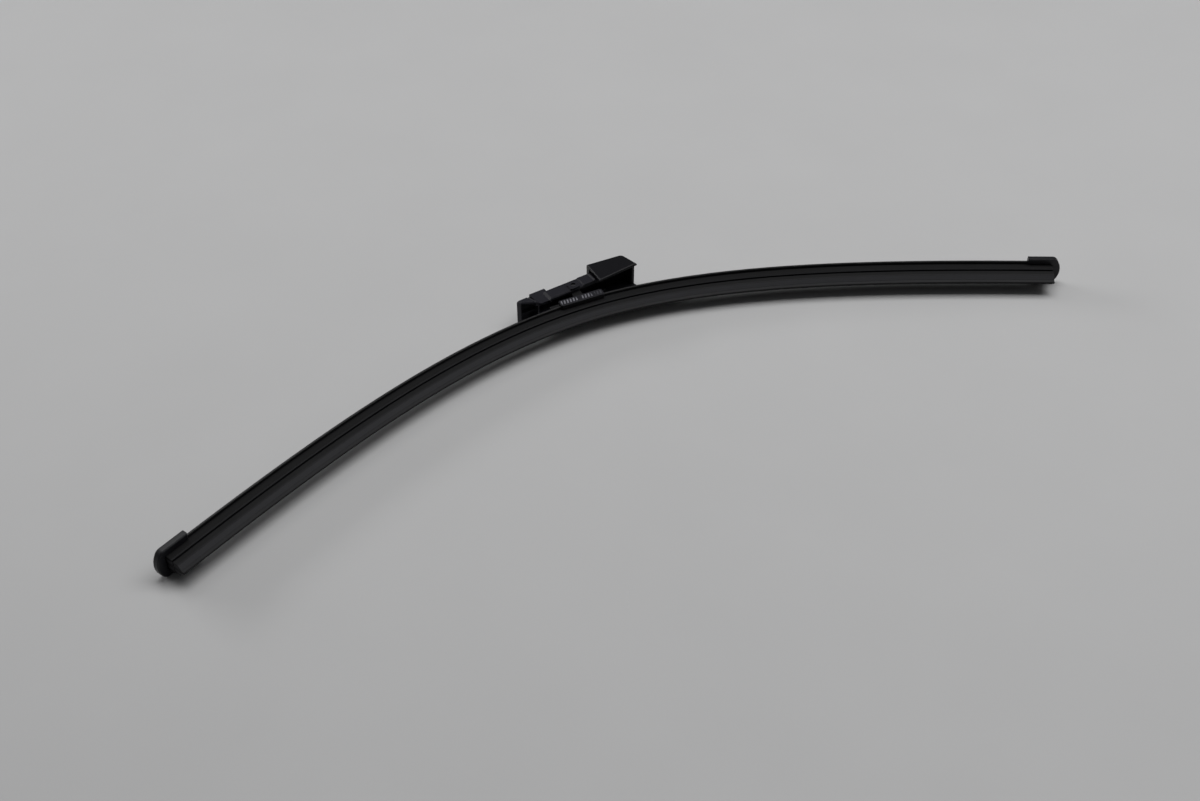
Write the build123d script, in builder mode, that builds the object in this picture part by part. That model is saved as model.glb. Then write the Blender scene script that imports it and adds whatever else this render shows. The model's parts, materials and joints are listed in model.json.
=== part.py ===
from build123d import *
from math import cos, degrees, radians, sin
import os

# Flat wiper blade with a rocking arm adapter, lying on its side.
# X runs along the blade, +Y is the side of its back and connector, and Z is up from the surface it lies on.
# The origin is the middle of the footprint. Lengths are millimetres, and angles degrees unless named otherwise.

# Bow: tangent arcs whose bend falls off from the middle to the ends by a square law
overall_length = 400.0
middle_radius = 167.3
end_radius = 1672.0
arc_count = 15

# Half width of the end caps and the adapter, which the blade lies on
side_reach = 6.0

# Rubber section, measured across from its centre plane and from the rails' back towards the lip
flange_half = 2.2
flange_rise = 0.5
neck_half = 0.9
shoulder_half = 3.3
shoulder_height = 3.3
shoulder_chamfer = 0.4
web_half = 0.55
web_height = 0.6
wedge_half = 2.6
heel_half = 2.3
heel_height = 2.2
taper_height = 1.3
lip_root_half = 0.7
lip_tip_half = 0.4
lip_height = 1.1
rubber_inset = 3.9

# Spring rails
rail_width = 3.55
rail_thickness = 0.9
rail_edge = 0.2
rail_inset = 4.2
rail_gap = 0.05

# End caps
cap_length = 13.8
cap_back = 1.25
cap_drop = 1.5
cap_nose = 3.5
cap_bulge = 2.6
cap_corner = 2.4
cap_edge = 0.7
cap_bevel = 0.4
clip_gap = 0.1

# Bracket: grips over the rails, a base between them and a tower for the pivot
grip_start = -10.7
grip_end = 8.2
grip_half = 5.4
grip_back = 1.5
grip_drop = 2.2
grip_corner = 0.7
base_start = -13.8
base_half = 2.5
base_rise = 3.0
tower_foot = 4.4
tower_half = 2.2
tower_overlap = 0.5
head_radius = 1.9

# Pivot
pivot_height = 10.1
pin_radius = 1.0
pin_half_length = 3.8
pin_press = 0.01
pin_clearance = 0.05

# Adapter, measured from the pivot: along the adapter and out from the blade's back
rock_angle = 7.8
wall = 1.0
tower_clearance = 0.3
bar_half = 3.8
bar_top = 3.2
bar_bottom = -2.2
bar_bevel = 0.5
catch_place = -12.5
catch_lap = 1.0
block_half = 2.9
block_start = -17.3
block_end = -10.2
block_top = 6.0
block_bottom = -1.7
tail_end = -25.9
tail_shoulder = -20.8
tail_back = 1.3
tail_tip = (-25.2, -0.5)
tail_knee = (-19.8, -3.2)
tail_crease = -21.2
tail_corner = 1.0
tail_wall = 1.0
tail_bevel = 0.5
rib_front = -0.6
rib_half = 0.6
facet_foot = 1.0
step_place = 3.65
step_rise = 0.3
collar_place = 8.6
collar_length = 0.7
collar_rise = 0.8
boss_start = -2.4
boss_end = 2.2
boss_top = 1.7
boss_rise = 0.6
boss_corner = 0.6
hood_front_low = (9.5, -5.4)
hood_front_top = (10.9, 6.6)
hood_crown = (26.8, 4.45)
hood_tip = (28.5, -4.2)
hood_corner = 2.0
hood_edge = 0.6
hood_wall = 1.0
hood_back_wall = 2.0
hood_end_shift = 0.75
hood_notch = 1.4
neck_start = 11.5
neck_end = 14.5

# Places that follow from the sizes above
rail_inner = neck_half + rail_gap
rail_outer = rail_inner + rail_width
shoulder_start = rail_thickness + rail_gap
shoulder_end = shoulder_start + shoulder_height
wedge_start = shoulder_end + web_height
heel_end = wedge_start + heel_height
lip_root = heel_end + taper_height
lip_reach = lip_root + lip_height
arc_length = (overall_length - 2 * cap_length) / arc_count
rock = radians(rock_angle)


def curvature(k):
    """Bend of arc k, greatest at the middle of the blade."""
    share = abs(k - (arc_count - 1) / 2) * arc_length / (overall_length / 2)
    return 1 / end_radius + (1 / middle_radius - 1 / end_radius) * (1 - share) ** 2


turns = [arc_length * curvature(k) for k in range(arc_count)]
end_heading = sum(turns) / 2


def bow_to_middle():
    """How far the middle of the blade lies along and above the inner end of a straight tail."""
    heading = end_heading
    reach = 0.0
    rise = 0.0
    for half_arc in range(arc_count):
        k = half_arc // 2
        turn = turns[k] / 2
        chord = 2 * sin(turn / 2) / curvature(k)
        reach += chord * cos(heading - turn / 2)
        rise += chord * sin(heading - turn / 2)
        heading -= turn
    return reach, rise


bow_reach, bow_rise = bow_to_middle()
lowest = -bow_rise - (cap_length - rubber_inset) * sin(end_heading) - lip_reach * cos(end_heading)
highest = pivot_height + hood_crown[0] * sin(rock) + hood_crown[1] * cos(rock)
middle_y = -(lowest + highest) / 2

# Planes: side view at the middle, side view at the right end, and side and plan views of the rocked adapter
middle = Plane(origin=(0, middle_y, side_reach))
right_end = Plane(
    origin=(
        bow_reach + cap_length * cos(end_heading),
        middle_y - bow_rise - cap_length * sin(end_heading),
        side_reach,
    ),
    x_dir=(cos(end_heading), -sin(end_heading), 0),
    z_dir=(0, 0, 1),
)
pivot = (0, middle_y + pivot_height, side_reach)
adapter_side = Plane(origin=pivot, x_dir=(cos(rock), sin(rock), 0), z_dir=(0, 0, 1))
adapter_plan = Plane(origin=pivot, x_dir=(cos(rock), sin(rock), 0), z_dir=(sin(rock), -cos(rock), 0))
along_axis = Axis(pivot, adapter_side.x_dir)
out_axis = Axis(pivot, adapter_side.y_dir)
plan_reach = 2 * (hood_front_top[1] - hood_front_low[1])


def bow_path(inset):
    """The blade's line from end to end, short of each end by the inset: a tail, the arcs and a tail."""
    run = cap_length - inset
    tail = Vector(-bow_reach, middle_y - bow_rise, side_reach)
    along = Vector(cos(end_heading), sin(end_heading), 0)
    with BuildLine() as line:
        piece = Line(tail - along * run, tail)
        for k in range(arc_count):
            piece = JernArc(piece @ 1, piece % 1, 1 / curvature(k), -degrees(turns[k]))
        Line(piece @ 1, piece @ 1 + (piece % 1) * run)
    return line.wire()


def across(path):
    """Section plane at a path's start: X across the blade, and Y from its back towards the lip."""
    return Plane(origin=path @ 0, x_dir=(0, 0, 1), z_dir=path % 0)


def blade_slot(plane, depth):
    """Section of the space that a clip leaves for the rubber's head and the rails, open at the given depth."""
    with BuildSketch(plane) as slot:
        with BuildLine():
            Polyline(
                (0, -flange_rise - clip_gap),
                (flange_half + clip_gap, -flange_rise - clip_gap),
                (flange_half + clip_gap, -clip_gap),
                (rail_outer + clip_gap, -clip_gap),
                (rail_outer + clip_gap, rail_thickness + clip_gap),
                (shoulder_half + clip_gap, rail_thickness + clip_gap),
                (shoulder_half + clip_gap, depth),
                (0, depth),
            )
            mirror(about=Plane.YZ)
        make_face()
    return slot.sketch


def hood_outline(shift_along, shift_out):
    """Side view of the hood, moved along and out from the blade."""
    points = [
        (along + shift_along, out + shift_out)
        for along, out in (hood_front_low, hood_front_top, hood_crown, hood_tip)
    ]
    with BuildSketch(adapter_side) as outline:
        with BuildLine() as line:
            Polyline(*points, close=True)
            fillet(line.vertices().sort_by_distance(points[2])[0], hood_corner)
        make_face()
    return outline.sketch


def plan_rectangle(start, end, half, out):
    """Rectangle in plan on the adapter, at a height out from the pivot."""
    with BuildSketch(adapter_plan.offset(-out)) as rectangle:
        with Locations(((start + end) / 2, 0)):
            Rectangle(end - start, 2 * half)
    return rectangle.sketch


def tail_facet(face_side):
    """Plane that slopes from a crease on a side of the adapter's tail down to the same side of its block."""
    crease_back, crease_front, foot = (
        adapter_side.from_local_coords((along, out, face_side * half))
        for along, out, half in (
            (tail_crease, tail_back, side_reach),
            (*tail_knee, side_reach),
            (block_start, facet_foot, block_half),
        )
    )
    return Plane(origin=crease_back, z_dir=(crease_front - crease_back).cross(foot - crease_back) * face_side)


os.makedirs("parts", exist_ok=True)

# Rubber element: flange, neck between the rails, shoulder, tilting web, wedge and lip
rubber_path = bow_path(rubber_inset)
with BuildPart() as wiper_rubber:
    with BuildSketch(across(rubber_path)):
        with BuildLine():
            Polyline(
                (0, -flange_rise),
                (flange_half, -flange_rise),
                (flange_half, -rail_gap),
                (neck_half, -rail_gap),
                (neck_half, shoulder_start),
                (shoulder_half, shoulder_start),
                (shoulder_half, shoulder_end - shoulder_chamfer),
                (shoulder_half - shoulder_chamfer, shoulder_end),
                (web_half, shoulder_end),
                (web_half, wedge_start),
                (wedge_half, wedge_start),
                (heel_half, heel_end),
                (lip_root_half, lip_root),
                (lip_tip_half, lip_reach),
                (0, lip_reach),
            )
            mirror(about=Plane.YZ)
        make_face()
    sweep(path=rubber_path)
wiper_rubber.part.label = "wiper_rubber"
export_step(wiper_rubber.part, "parts/wiper_rubber.step")

# Spring rails, one in each slot of the rubber
rail_path = bow_path(rail_inset)
for name, side in (("spring_rail_upper", 1), ("spring_rail_lower", -1)):
    with BuildPart() as spring_rail:
        with BuildSketch(across(rail_path)) as strip:
            with Locations((side * (rail_inner + rail_outer) / 2, rail_thickness / 2)):
                Rectangle(rail_width, rail_thickness)
            chamfer(strip.vertices(), rail_edge)
        sweep(path=rail_path)
    spring_rail.part.label = name
    export_step(spring_rail.part, f"parts/{name}.step")

# End caps: a C-shaped sleeve with a closed nose that is bowed in plan, the left one a mirror image
cap_plan = Plane(
    origin=right_end.from_local_coords((0, -cap_drop, 0)),
    x_dir=right_end.x_dir,
    z_dir=right_end.y_dir,
)
with BuildPart() as end_cap_right:
    with BuildSketch(cap_plan) as cap_outline:
        with BuildLine():
            Polyline(
                (-cap_bulge, side_reach),
                (-cap_length, side_reach),
                (-cap_length, -side_reach),
                (-cap_bulge, -side_reach),
            )
            ThreePointArc((-cap_bulge, -side_reach), (0, 0), (-cap_bulge, side_reach))
        make_face()
        fillet(cap_outline.vertices().group_by(Axis.X)[-1], cap_corner)
    extrude(amount=cap_back + cap_drop)
    fillet(end_cap_right.faces().filter_by(cap_plan).sort_by(Axis.Y)[-1].edges(), cap_edge)
    chamfer(end_cap_right.faces().filter_by(cap_plan).sort_by(Axis.Y)[0].edges(), cap_bevel)
    cap_mouth = Plane(
        origin=right_end.from_local_coords((-cap_length, 0, 0)),
        x_dir=(0, 0, 1),
        z_dir=right_end.x_dir,
    )
    extrude(blade_slot(cap_mouth, cap_drop), amount=cap_length - cap_nose, mode=Mode.SUBTRACT)
end_cap_right.part.label = "end_cap_right"
export_step(end_cap_right.part, "parts/end_cap_right.step")

with BuildPart() as end_cap_left:
    mirror(end_cap_right.part, about=Plane.YZ)
end_cap_left.part.label = "end_cap_left"
export_step(end_cap_left.part, "parts/end_cap_left.step")

# Bracket: grips, base and tower, cut to the bow's middle arc and bored for the pin
grip_middle = (grip_start + grip_end) / 2
base_sag = base_start**2 / (2 * middle_radius)
with BuildPart() as bracket:
    with BuildSketch(middle):
        with Locations((grip_middle, (grip_back - grip_drop) / 2)):
            RectangleRounded(grip_end - grip_start, grip_back + grip_drop, grip_corner)
    extrude(amount=grip_half, both=True)
    with BuildSketch(middle):
        with Locations(((base_start + grip_end) / 2, (base_rise - base_sag) / 2)):
            Rectangle(grip_end - base_start, base_rise + base_sag)
    extrude(amount=base_half, both=True)
    with BuildSketch(middle):
        with BuildLine():
            Polyline(
                (-tower_foot / 2, base_rise - tower_overlap),
                (-head_radius, pivot_height),
                (head_radius, pivot_height),
                (tower_foot / 2, base_rise - tower_overlap),
                close=True,
            )
        make_face()
        with Locations((0, pivot_height)):
            Circle(head_radius)
            Circle(pin_radius + pin_press, mode=Mode.SUBTRACT)
    extrude(amount=tower_half, both=True)
    middle_across = Plane(origin=middle.origin, x_dir=(0, 0, 1), z_dir=(1, 0, 0))
    bend_axis = Axis((0, middle_y - middle_radius, 0), (0, 0, 1))
    revolve(blade_slot(middle_across, grip_drop + base_sag), axis=bend_axis, mode=Mode.SUBTRACT)
bracket.part.label = "bracket"
export_step(bracket.part, "parts/bracket.step")

# Pivot pin, pressed into the tower
with BuildPart() as pivot_pin:
    with BuildSketch(adapter_side):
        Circle(pin_radius)
    extrude(amount=pin_half_length, both=True)
pivot_pin.part.label = "pivot_pin"
export_step(pivot_pin.part, "parts/pivot_pin.step")

# Adapter core: a ribbed scoop as the tail, sloped by facets to the block, then the block and the bar
with BuildPart() as adapter_core:
    with BuildSketch(adapter_side):
        with BuildLine():
            Polyline(
                (tail_end, tail_back),
                (tail_shoulder, tail_back),
                (block_start, block_top),
                (catch_place, block_top),
                (catch_place, block_bottom),
                (block_start, block_bottom),
                tail_knee,
                tail_tip,
                close=True,
            )
        make_face()
    extrude(amount=side_reach, both=True)
    for face_side in (1, -1):
        rim_middle = (Vector(*tail_tip) + Vector(*tail_knee)) / 2 + Vector(0, 0, face_side * side_reach)
        rim = adapter_core.edges().sort_by_distance(adapter_side.from_local_coords(rim_middle))[0]
        chamfer(rim, tail_bevel)
    end_face = adapter_core.faces().sort_by(along_axis)[0]
    end_sides = end_face.edges().group_by(Axis.Z)
    fillet(end_sides[0] + end_sides[-1], tail_corner)
    for face_side in (1, -1):
        split(bisect_by=tail_facet(face_side), keep=Keep.BOTTOM)
    with BuildSketch(adapter_plan.offset(tail_wall - tail_back)):
        with BuildLine():
            Polyline(
                (tail_end + tail_wall, 0),
                (tail_end + tail_wall, side_reach - tail_wall),
                (tail_crease, side_reach - tail_wall),
                (block_start - tail_wall, block_half),
                (block_start - tail_wall, 0),
            )
            mirror(about=Plane.XZ)
        make_face()
    extrude(amount=plan_reach, mode=Mode.SUBTRACT)
    with BuildSketch(adapter_side):
        with Locations(((tail_end + block_start) / 2, (tail_back - tail_wall + rib_front) / 2)):
            Rectangle(block_start - tail_end - 2 * tail_wall, tail_back - tail_wall - rib_front)
    extrude(amount=rib_half, both=True)
    extrude(plan_rectangle(block_start, block_end, block_half, block_top), amount=block_top - block_bottom)
    with BuildSketch(adapter_plan.offset(-bar_top)):
        with BuildLine():
            Polyline(
                (catch_place, 0),
                (catch_place, block_half),
                (catch_place + bar_half - block_half, bar_half),
                (step_place, bar_half),
                (step_place + step_rise, bar_half + step_rise),
                (collar_place, bar_half + step_rise),
                (collar_place + collar_rise - step_rise, bar_half + collar_rise),
                (collar_place + collar_length, bar_half + collar_rise),
                (collar_place + collar_length, bar_half),
                (neck_end, bar_half),
                (neck_end, 0),
            )
            mirror(about=Plane.XZ)
        make_face()
    extrude(amount=bar_top - bar_bottom)
    bar_base = adapter_core.faces().filter_by(adapter_plan).sort_by(out_axis)[0]
    chamfer(bar_base.edges().filter_by(along_axis).sort_by(SortBy.LENGTH)[-2:], bar_bevel)
    block_pocket = plan_rectangle(block_start, block_end, block_half - wall, block_top - wall)
    extrude(block_pocket, amount=plan_reach, mode=Mode.SUBTRACT)
    channel_half = tower_half + tower_clearance
    bar_channel = plan_rectangle(catch_place + catch_lap, neck_end, channel_half, bar_top - wall)
    extrude(bar_channel, amount=plan_reach, mode=Mode.SUBTRACT)

# Adapter: the hood, a shell open towards the blade and the bar, with the core held by a neck
hood_slope = (hood_crown[1] - hood_front_top[1]) / (hood_crown[0] - hood_front_top[0])
neck_top = hood_front_top[1] + hood_slope * (neck_end - hood_front_top[0]) - hood_back_wall / 2
with BuildPart() as adapter:
    extrude(hood_outline(0, 0), amount=side_reach, both=True)
    fillet(adapter.faces().filter_by(Axis.Z).edges(), hood_edge)
    hood_hollow = hood_outline(-hood_end_shift, -hood_back_wall)
    extrude(hood_hollow, amount=side_reach - hood_wall, both=True, mode=Mode.SUBTRACT)
    end_notch = plan_rectangle(hood_crown[0], hood_tip[0] + wall, side_reach - hood_wall, hood_tip[1] + hood_notch)
    extrude(end_notch, amount=plan_reach, mode=Mode.SUBTRACT)
    add(adapter_core.part)
    extrude(plan_rectangle(neck_start, neck_end, bar_half, neck_top), amount=neck_top - bar_top + wall)
    for face_side in (1, -1):
        with BuildSketch(adapter_side.offset(face_side * (bar_half - step_rise))):
            with Locations(((boss_start + boss_end) / 2, (boss_top + bar_bottom) / 2)):
                RectangleRounded(boss_end - boss_start, boss_top - bar_bottom, boss_corner)
        extrude(amount=face_side * (boss_rise + step_rise))
    with BuildSketch(adapter_side):
        Circle(pin_radius + pin_clearance)
    extrude(amount=side_reach, both=True, mode=Mode.SUBTRACT)
adapter.part.label = "adapter"
export_step(adapter.part, "parts/adapter.step")
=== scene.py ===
import json
import math

import bpy
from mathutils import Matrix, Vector

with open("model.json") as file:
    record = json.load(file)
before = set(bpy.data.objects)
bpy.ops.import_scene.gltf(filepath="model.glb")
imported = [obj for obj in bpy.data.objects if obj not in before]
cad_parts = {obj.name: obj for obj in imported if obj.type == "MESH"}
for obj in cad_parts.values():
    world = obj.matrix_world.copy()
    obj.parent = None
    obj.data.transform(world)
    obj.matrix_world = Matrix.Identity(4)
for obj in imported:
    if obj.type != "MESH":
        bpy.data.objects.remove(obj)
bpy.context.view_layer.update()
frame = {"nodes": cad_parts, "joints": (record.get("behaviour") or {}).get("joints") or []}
scene = bpy.context.scene
scene.view_settings.view_transform = "Standard"
millimetre = 0.001

# The adapter's pivot, which is halfway up the blade, and the angle at which the adapter stands at rest
pivot = Vector(frame["joints"][0]["pos_m"])
rest_angle = math.radians(7.8)


# Camera: the floor point it aims at, its angle over the floor, its heading and its distance
aim = Vector((-0.01655, -0.02144, 0.0))
elevation = math.radians(41.18)
heading = math.radians(26.30)
distance = 0.54755
towards_eye = Vector((
    -math.sin(heading) * math.cos(elevation),
    -math.cos(heading) * math.cos(elevation),
    math.sin(elevation),
))
camera_data = bpy.data.cameras.new("photo_camera")
camera_data.sensor_fit = "HORIZONTAL"
camera_data.sensor_width = 36.0
camera_data.lens = 43.456
camera = bpy.data.objects.new("photo_camera", camera_data)
camera.location = aim + distance * towards_eye
camera.rotation_euler = towards_eye.to_track_quat("Z", "Y").to_euler()
scene.collection.objects.link(camera)
scene.camera = camera


# Material building
class Tree:
    """A material's node tree, with short calls that make a node and return its output."""

    def __init__(self, name):
        self.material = bpy.data.materials.new(name)
        self.material.use_nodes = True
        self.nodes = self.material.node_tree.nodes
        self.links = self.material.node_tree.links
        self.shader = self.nodes["Principled BSDF"]
        self.place = self.nodes.new("ShaderNodeTexCoord").outputs["Object"]
        self.parts = self.nodes.new("ShaderNodeSeparateXYZ")
        self.links.new(self.place, self.parts.inputs["Vector"])

    def put(self, value, socket):
        """Links an output to a socket, or sets the socket to a plain value."""
        if isinstance(value, bpy.types.NodeSocket):
            self.links.new(value, socket)
        else:
            socket.default_value = value

    def axis(self, name):
        return self.parts.outputs[name]

    def math(self, operation, a, b=0.0, c=0.0):
        node = self.nodes.new("ShaderNodeMath")
        node.operation = operation
        for value, socket in zip((a, b, c), node.inputs):
            self.put(value, socket)
        return node.outputs["Value"]

    def product(self, first, *others):
        result = first
        for value in others:
            result = self.math("MULTIPLY", result, value)
        return result

    def gap(self, value, middle):
        """How far a value lies from a middle, on either side of it."""
        return self.math("ABSOLUTE", self.math("SUBTRACT", value, middle))

    def ranged(self, value, low, high, new_low, new_high):
        node = self.nodes.new("ShaderNodeMapRange")
        for number, name in zip((low, high, new_low, new_high), ("From Min", "From Max", "To Min", "To Max")):
            node.inputs[name].default_value = number
        self.put(value, node.inputs["Value"])
        return node.outputs["Result"]

    def zone(self, value, outside, inside):
        """Goes from 0 at the outside place to 1 at the inside one, both in millimetres."""
        return self.ranged(value, outside * millimetre, inside * millimetre, 0.0, 1.0)

    def noise(self, size, detail=3.0, roughness=0.55):
        """Noise whose lumps are about the given size in millimetres."""
        node = self.nodes.new("ShaderNodeTexNoise")
        node.inputs["Scale"].default_value = 1.0 / (size * millimetre)
        node.inputs["Detail"].default_value = detail
        node.inputs["Roughness"].default_value = roughness
        self.links.new(self.place, node.inputs["Vector"])
        return node.outputs["Fac"]

    def lines(self, coordinate, size):
        """Noise that varies along one coordinate only, in bands of about the given size in millimetres."""
        node = self.nodes.new("ShaderNodeTexNoise")
        node.noise_dimensions = "1D"
        node.inputs["Scale"].default_value = 1.0 / (size * millimetre)
        node.inputs["Detail"].default_value = 2.0
        self.links.new(coordinate, node.inputs["W"])
        return node.outputs["Fac"]

    def mix(self, factor, a, b):
        node = self.nodes.new("ShaderNodeMix")
        node.data_type = "RGBA"
        self.put(factor, node.inputs["Factor"])
        for value, socket in ((a, node.inputs[6]), (b, node.inputs[7])):
            self.put((*value, 1.0) if isinstance(value, tuple) else value, socket)
        return node.outputs[2]

    def edges(self, radius):
        """About 1 along sharp edges and 0 on flat faces, with the rounded normal that goes with it."""
        bevel = self.nodes.new("ShaderNodeBevel")
        bevel.samples = 6
        bevel.inputs["Radius"].default_value = radius * millimetre
        geometry = self.nodes.new("ShaderNodeNewGeometry")
        dot = self.nodes.new("ShaderNodeVectorMath")
        dot.operation = "DOT_PRODUCT"
        self.links.new(bevel.outputs["Normal"], dot.inputs[0])
        self.links.new(geometry.outputs["Normal"], dot.inputs[1])
        return self.ranged(dot.outputs["Value"], 0.995, 0.85, 0.0, 1.0), bevel.outputs["Normal"]

    def bump(self, height, strength, depth, normal=None):
        node = self.nodes.new("ShaderNodeBump")
        node.inputs["Strength"].default_value = strength
        node.inputs["Distance"].default_value = depth * millimetre
        self.links.new(height, node.inputs["Height"])
        if normal is not None:
            self.links.new(normal, node.inputs["Normal"])
        return node.outputs["Normal"]

    def finish(self, colour, roughness, normal, specular=0.5):
        self.put(specular, self.shader.inputs["Specular IOR Level"])
        self.put(colour, self.shader.inputs["Base Color"])
        self.put(roughness, self.shader.inputs["Roughness"])
        self.put(normal, self.shader.inputs["Normal"])
        return self.material


def rubber_material():
    """Matt rubber with lines drawn along it, a greyer coat on the wedge and lip with painted sheen on the
    wedge, and painted highlight along the shoulder's edge and on sharp edges.
    """
    black, faded_black = (0.004, 0.004, 0.0043), (0.007, 0.007, 0.0075)
    flank_dark, flank_light = (0.031, 0.031, 0.0332), (0.048, 0.048, 0.0514)
    lip_dark, lip_light = (0.013, 0.013, 0.014), (0.022, 0.022, 0.0235)
    # Paler grey used as painted highlight on the shoulder's edge band and on sharp edges
    painted_sheen = (0.018, 0.018, 0.0195)
    smooth, rough = 0.52, 0.72

    tree = Tree("rubber")
    from_middle = tree.gap(tree.axis("Z"), pivot.z)
    coat = tree.zone(from_middle, outside=2.4, inside=2.1)
    lip = tree.zone(from_middle, outside=0.9, inside=0.65)
    # The shoulder band is painted highlight along the shoulder's lower edge
    shoulder = tree.product(
        tree.zone(from_middle, outside=2.85, inside=2.95),
        tree.zone(from_middle, outside=3.28, inside=3.2),
    )
    drawn = tree.lines(tree.axis("Z"), 0.22)
    cloud = tree.noise(9.0, 4.0)
    grit = tree.noise(0.18, 2.0)
    streak = tree.math("MULTIPLY_ADD", drawn, 0.6, tree.math("MULTIPLY", cloud, 0.4))
    bare = tree.mix(shoulder, tree.mix(cloud, black, faded_black), painted_sheen)
    # The flank colours are paler than the lip's: painted sheen for the light the tilted wedge faces reflect,
    # laid over the coat
    flank = tree.mix(streak, flank_dark, flank_light)
    coat_and_sheen = tree.mix(lip, flank, tree.mix(streak, lip_dark, lip_light))
    # Sharp edges get painted highlight
    edge, rounded = tree.edges(0.12)
    colour = tree.mix(edge, tree.mix(coat, bare, coat_and_sheen), painted_sheen)
    roughness = tree.ranged(tree.math("ADD", cloud, grit), 0.6, 1.4, smooth, rough)
    relief = tree.math("MULTIPLY_ADD", drawn, 0.5, grit)
    return tree.finish(colour, roughness, tree.bump(relief, 0.3, 0.03, rounded), specular=0.12)


def rail_material():
    """Black paint on rolled spring strip."""
    dark, light = (0.006, 0.006, 0.0065), (0.010, 0.010, 0.0105)
    # Edges are painted paler: painted highlight
    painted_edge_sheen = (0.012, 0.012, 0.013)
    smooth, rough = 0.34, 0.5

    tree = Tree("rail_paint")
    peel = tree.noise(0.7, 2.0)
    stain = tree.noise(14.0, 4.0)
    edge, rounded = tree.edges(0.12)
    colour = tree.mix(edge, tree.mix(stain, dark, light), painted_edge_sheen)
    roughness = tree.ranged(stain, 0.3, 0.7, smooth, rough)
    return tree.finish(colour, roughness, tree.bump(peel, 0.2, 0.02, rounded), specular=0.3)


def moulded_plastic(name, dark, light, painted_edge_sheen, smooth, rough, grain):
    """Black moulded plastic: a fine eroded grain, faint flow marks and paler edges, which are painted
    highlight broken up in patches.
    """
    tree = Tree(name)
    fine = tree.noise(grain, 2.0)
    flow = tree.noise(7.0, 4.0)
    edge, rounded = tree.edges(0.18)
    # Edges are painted paler in patches: painted highlight
    painted_sheen = tree.math("MULTIPLY", edge, tree.ranged(tree.noise(1.6), 0.35, 0.7, 0.35, 1.0))
    colour = tree.mix(painted_sheen, tree.mix(flow, dark, light), painted_edge_sheen)
    roughness = tree.ranged(tree.math("MULTIPLY_ADD", flow, 0.6, fine), 0.4, 1.2, smooth, rough)
    return tree, colour, roughness, tree.bump(fine, 0.35, 0.03, rounded)


def cap_material():
    """The end caps' plastic."""
    tree, colour, roughness, normal = moulded_plastic(
        "cap_plastic",
        dark=(0.006, 0.006, 0.0075),
        light=(0.010, 0.010, 0.0125),
        painted_edge_sheen=(0.017, 0.017, 0.021),
        smooth=0.32,
        rough=0.44,
        grain=0.25,
    )
    return tree.finish(colour, roughness, normal, specular=0.3)


def bracket_material():
    """The bracket's plastic, with painted shade off its upper side, which has rows of plain printed strokes,
    faded in patches.
    """
    ink_grey = (0.22, 0.22, 0.245)
    # Near-black used as painted shade on the bracket away from its upper side
    painted_shade = (0.005, 0.005, 0.0056)
    print_line = 26.25 * millimetre
    stroke_pitch = 1.32 * millimetre
    stroke_slant = -0.25
    row_blur = 0.1
    # Each row's middle and half length in millimetres, and how much of its ink is kept
    print_rows = ((-6.6, 3.5, 0.9), (1.1, 2.2, 0.8), (6.1, 1.5, 0.2))

    tree, plastic, roughness, normal = moulded_plastic(
        "bracket_plastic",
        dark=(0.009, 0.0088, 0.0114),
        light=(0.013, 0.0128, 0.0164),
        painted_edge_sheen=(0.027, 0.0265, 0.033),
        smooth=0.36,
        rough=0.48,
        grain=0.22,
    )
    upper_side = tree.zone(tree.axis("Z"), outside=11.3, inside=11.35)
    across = tree.math("SUBTRACT", tree.axis("Y"), print_line)
    slanted = tree.math("MULTIPLY_ADD", across, stroke_slant, tree.axis("X"))
    phase = tree.math("FRACT", tree.math("DIVIDE", slanted, stroke_pitch))
    stroke = tree.ranged(tree.gap(phase, 0.5), 0.16, 0.28, 1.0, 0.0)
    height = tree.zone(tree.math("ABSOLUTE", across), outside=1.15, inside=0.9)
    rows = 0.0
    for middle, half, kept in print_rows:
        from_middle = tree.gap(tree.axis("X"), middle * millimetre)
        row = tree.zone(from_middle, outside=half + row_blur, inside=half - row_blur)
        rows = tree.math("MULTIPLY_ADD", row, kept, rows)
    faded = tree.ranged(tree.noise(0.9), 0.3, 0.65, 0.55, 1.0)
    ink = tree.product(stroke, height, upper_side, rows, faded)
    # Off the upper side the plastic gets painted shade; the ink sits on the upper side only
    colour = tree.mix(ink, tree.mix(upper_side, painted_shade, plastic), ink_grey)
    return tree.finish(colour, roughness, normal, specular=0.2)


def adapter_material():
    """The adapter's plastic, with a painted highlight on the tail's end, and a smoother, deeper black on the
    hood.
    """
    hood_dark, hood_light = (0.0062, 0.0062, 0.0073), (0.009, 0.009, 0.0105)
    painted_sheen = (0.036, 0.0355, 0.0415)
    hood_polish = -0.1

    tree, plastic, roughness, normal = moulded_plastic(
        "adapter_plastic",
        dark=(0.0125, 0.0122, 0.0158),
        light=(0.0165, 0.0162, 0.0208),
        painted_edge_sheen=(0.033, 0.0325, 0.041),
        smooth=0.36,
        rough=0.48,
        grain=0.22,
    )
    from_pivot = tree.math("SUBTRACT", tree.axis("Y"), pivot.y)
    sideways = tree.math("MULTIPLY", from_pivot, math.sin(rest_angle))
    along = tree.math("MULTIPLY_ADD", tree.axis("X"), math.cos(rest_angle), sideways)
    hood = tree.zone(along, outside=9.6, inside=10.2)
    # The tail's end is painted paler: painted highlight
    tail_end = tree.zone(along, outside=-24.9, inside=-25.1)
    hood_colour = tree.mix(tree.noise(6.0, 4.0), hood_dark, hood_light)
    colour = tree.mix(hood, tree.mix(tail_end, plastic, painted_sheen), hood_colour)
    polished = tree.math("MULTIPLY_ADD", hood, hood_polish, roughness)
    return tree.finish(colour, polished, normal, specular=0.12)


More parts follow.
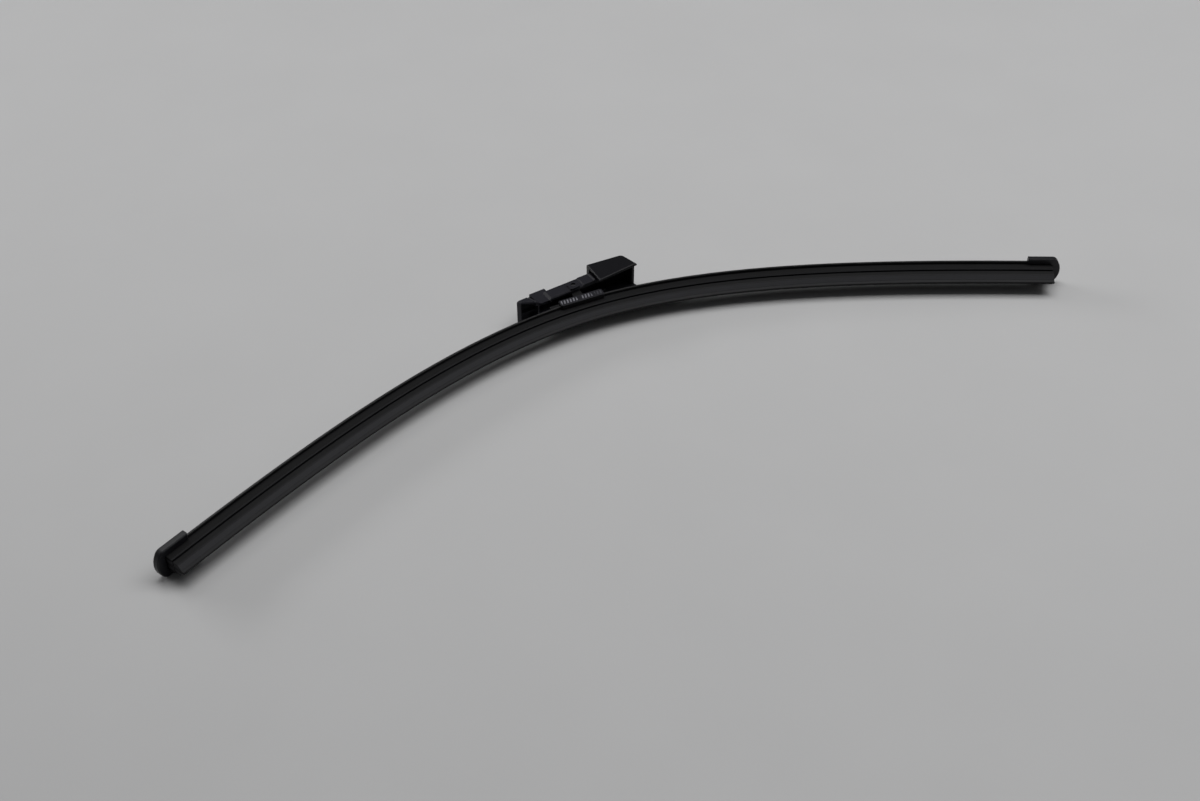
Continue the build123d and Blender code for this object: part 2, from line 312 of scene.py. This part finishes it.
def pin_material():
    """Turned steel, blackened."""
    dark, light = (0.04, 0.04, 0.042), (0.09, 0.09, 0.094)
    smooth, rough = 0.3, 0.45

    tree = Tree("pin_steel")
    tree.shader.inputs["Metallic"].default_value = 1.0
    turned = tree.lines(tree.axis("Z"), 0.08)
    roughness = tree.ranged(turned, 0.2, 0.8, smooth, rough)
    return tree.finish(tree.mix(turned, dark, light), roughness, tree.bump(turned, 0.2, 0.01))


def table_material():
    """A pale grey table top with a faint cloudiness."""
    dark, light = (0.435, 0.435, 0.437), (0.462, 0.462, 0.464)
    smooth, rough = 0.55, 0.7

    tree = Tree("table_top")
    cloud = tree.noise(60.0, 4.0)
    speck = tree.noise(0.6, 2.0)
    roughness = tree.ranged(speck, 0.3, 0.7, smooth, rough)
    return tree.finish(tree.mix(cloud, dark, light), roughness, tree.bump(speck, 0.08, 0.02))


# Materials on the part's nodes
for material, nodes in (
    (rubber_material(), ("wiper_rubber",)),
    (rail_material(), ("spring_rail_upper", "spring_rail_lower")),
    (cap_material(), ("end_cap_left", "end_cap_right")),
    (bracket_material(), ("bracket",)),
    (adapter_material(), ("adapter",)),
    (pin_material(), ("pivot_pin",)),
):
    for node in nodes:
        mesh = frame["nodes"][node].data
        mesh.materials.clear()
        mesh.materials.append(material)


# Floor: one large square, just under the part
half_floor = 6.0
floor_drop = 0.1 * millimetre
corners = [(x * half_floor, y * half_floor, 0) for x, y in ((-1, -1), (1, -1), (1, 1), (-1, 1))]
floor_mesh = bpy.data.meshes.new("floor")
floor_mesh.from_pydata(corners, [], [(0, 1, 2, 3)])
floor_mesh.materials.append(table_material())
floor = bpy.data.objects.new("floor", floor_mesh)
floor.location.z = -floor_drop
scene.collection.objects.link(floor)


# Light: a broad soft box overhead, a low strip window at the back left, a small panel behind the left end,
# a weak fill at the right, and a dim surround
def soft_box(name, place, target, width, depth, power, turn=0.0):
    light = bpy.data.lights.new(name, "AREA")
    light.shape = "RECTANGLE"
    light.size = width
    light.size_y = depth
    light.energy = power
    holder = bpy.data.objects.new(name, light)
    holder.location = place
    holder.rotation_euler = (Vector(place) - Vector(target)).to_track_quat("Z", "Y").to_euler()
    holder.rotation_euler.rotate_axis("Z", turn)
    scene.collection.objects.link(holder)


top_place = Vector((0.546, 0.067, 1.15))
top_target = Vector((top_place.x, top_place.y, 0.0))
soft_box("top_box", top_place, top_target, width=1.8, depth=0.8, power=16.8, turn=-heading)
soft_box("strip_window", (-0.90, 1.18, 0.42), (0.0, 0.0, 0.0), width=0.8, depth=0.16, power=8.0)
soft_box("end_panel", (-0.20, 0.54, 0.57), (-0.18, -0.03, 0.0), width=0.35, depth=0.25, power=0.5)
soft_box("fill", (0.97, -0.70, 0.70), (0.0, 0.0, 0.0), width=1.2, depth=0.8, power=1.0)
world = bpy.data.worlds.new("surround")
world.use_nodes = True
surround = world.node_tree.nodes["Background"]
surround.inputs["Color"].default_value = (0.95, 0.97, 1.0, 1.0)
surround.inputs["Strength"].default_value = 0.05
scene.world = world
